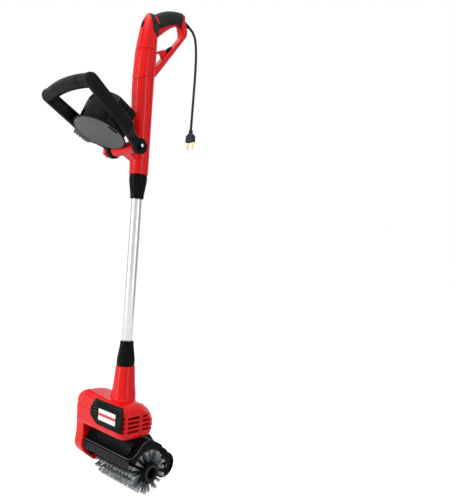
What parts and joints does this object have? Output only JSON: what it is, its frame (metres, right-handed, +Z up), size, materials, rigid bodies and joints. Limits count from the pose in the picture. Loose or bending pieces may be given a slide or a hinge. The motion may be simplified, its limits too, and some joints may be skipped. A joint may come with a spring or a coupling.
{
  "type": "electric patio cleaner",
  "caption": "Long-handled electric patio brush: D-grip with trigger, tilting front handle, telescopic tube, geared motor head with guarded roller brush and rear wheels.",
  "frame": {"origin": "centre of the rear grip bar, on the middle plane of the tool", "axes": "+X across the tool towards the free end of the brush, +Y back towards the user, +Z up along the tube"},
  "size_m": [0.2173, 0.3939, 1.1869],
  "materials": {
    "red_plastic": "gloss",
    "black_plastic": "satin",
    "soft_grip": "matte",
    "grey_plastic": "satin",
    "tube_aluminium": "satin anodised",
    "steel": "turned",
    "copper": "polished",
    "gear_plastic": "satin",
    "bristle": "matte",
    "white_plastic": "gloss",
    "rubber": "matte",
    "brass": "polished"
  },
  "bodies": {
    "upper_unit": {"upper_shell_left": "red_plastic", "upper_shell_right": "red_plastic", "grip_overmould": "soft_grip", "switch_body": "black_plastic", "switch_plunger": "white_plastic", "front_inset": "black_plastic", "cord_hook": "red_plastic", "hook_pad": "rubber", "cord_boot": "rubber", "power_cord": "rubber", "plug_body": "rubber", "plug_pin_left": "brass", "plug_pin_right": "brass", "upper_collet": "gear_plastic", "pivot_bolt": "steel"},
    "trigger": {"trigger": "red_plastic"},
    "lock_button": {"lock_button": "red_plastic"},
    "upper_collar": {"upper_collar": "black_plastic"},
    "front_handle": {"front_arm_near": "black_plastic", "front_arm_far": "black_plastic", "front_grip": "black_plastic", "pod_housing": "black_plastic", "pod_cover": "grey_plastic", "cover_latch": "grey_plastic", "side_wing_near": "black_plastic", "side_wing_far": "black_plastic"},
    "clamp_knob": {"clamp_knob": "red_plastic"},
    "tube_and_head": {"main_tube": "tube_aluminium", "lower_collet": "gear_plastic", "housing_front": "red_plastic", "housing_rear": "red_plastic", "gear_cover": "red_plastic", "panel_bezel": "black_plastic", "label_plate": "white_plastic", "motor_stator": "steel", "far_bearing": "steel", "near_bearing": "steel", "first_gear_pin": "steel", "idler_pin": "steel", "output_bearing": "steel", "guard_hood": "black_plastic", "guard_skirt": "rubber", "wheel_bracket": "black_plastic", "wheel_axle": "steel"},
    "lower_collar": {"lower_collar": "black_plastic"},
    "brush": {"output_gear": "gear_plastic", "drive_shaft": "steel", "brush_roller": "bristle", "brush_end_ring": "black_plastic", "brush_bolt": "steel"},
    "idler": {"idler_gear": "gear_plastic"},
    "first_gear": {"first_gear": "gear_plastic"},
    "motor_rotor": {"motor_armature": "steel", "commutator": "copper", "motor_fan": "black_plastic", "motor_pinion": "steel"},
    "wheel_far": {"wheel_far": "rubber"},
    "wheel_near": {"wheel_near": "rubber"}
  },
  "joints": [
    {"name": "trigger_pull", "type": "hinge", "parent": "upper_unit", "child": "trigger", "pos_m": [0, 0.02597, -0.00305], "axis": [-1, 0, 0], "range_deg": [0, 4], "stiffness_Nm_per_rad": 2, "springref_deg": -2.86},
    {"name": "lock_press", "type": "slide", "parent": "upper_unit", "child": "lock_button", "axis": [-1, 0, 0], "range_m": [0, 0.0025], "stiffness_N_per_m": 300},
    {"name": "upper_collar_turn", "type": "hinge", "parent": "upper_unit", "child": "upper_collar", "pos_m": [0, -0.062, -0.443], "axis": [0, 0, 1], "range_deg": [0, 90]},
    {"name": "tube_slide", "type": "slide", "parent": "upper_unit", "child": "tube_and_head", "axis": [0, 0, 1], "range_m": [0, 0.2]},
    {"name": "lower_collar_turn", "type": "hinge", "parent": "tube_and_head", "child": "lower_collar", "pos_m": [0, -0.062, -0.848], "axis": [0, 0, -1], "range_deg": [0, 90]},
    {"name": "front_handle_tilt", "type": "hinge", "parent": "upper_unit", "child": "front_handle", "pos_m": [0, -0.1035, -0.358], "axis": [1, 0, 0], "range_deg": [-16, 45]},
    {"name": "clamp_knob_turn", "type": "hinge", "parent": "upper_unit", "child": "clamp_knob", "pos_m": [-0.068, -0.1035, -0.358], "axis": [-1, 0, 0], "range_deg": [0, 360]},
    {"name": "brush_spin", "type": "hinge", "parent": "tube_and_head", "child": "brush", "pos_m": [0, -0.041, -1.108], "axis": [1, 0, 0], "continuous": true},
    {"name": "idler_spin", "type": "hinge", "parent": "tube_and_head", "child": "idler", "pos_m": [0, -0.06531, -1.07193], "axis": [1, 0, 0], "continuous": true},
    {"name": "first_gear_spin", "type": "hinge", "parent": "tube_and_head", "child": "first_gear", "pos_m": [0, -0.06353, -1.02997], "axis": [1, 0, 0], "continuous": true},
    {"name": "motor_spin", "type": "hinge", "parent": "tube_and_head", "child": "motor_rotor", "pos_m": [0, -0.062, -0.994], "axis": [1, 0, 0], "continuous": true},
    {"name": "wheel_far_spin", "type": "hinge", "parent": "tube_and_head", "child": "wheel_far", "pos_m": [-0.021, 0.043, -1.125], "axis": [1, 0, 0], "continuous": true},
    {"name": "wheel_near_spin", "type": "hinge", "parent": "tube_and_head", "child": "wheel_near", "pos_m": [0.037, 0.043, -1.125], "axis": [1, 0, 0], "continuous": true}
  ],
  "couplings": [
    {"joint": "idler_spin", "follows": "brush_spin", "ratio": -0.38095},
    {"joint": "first_gear_spin", "follows": "brush_spin", "ratio": 1.1429},
    {"joint": "motor_spin", "follows": "brush_spin", "ratio": -5.7143}
  ]
}
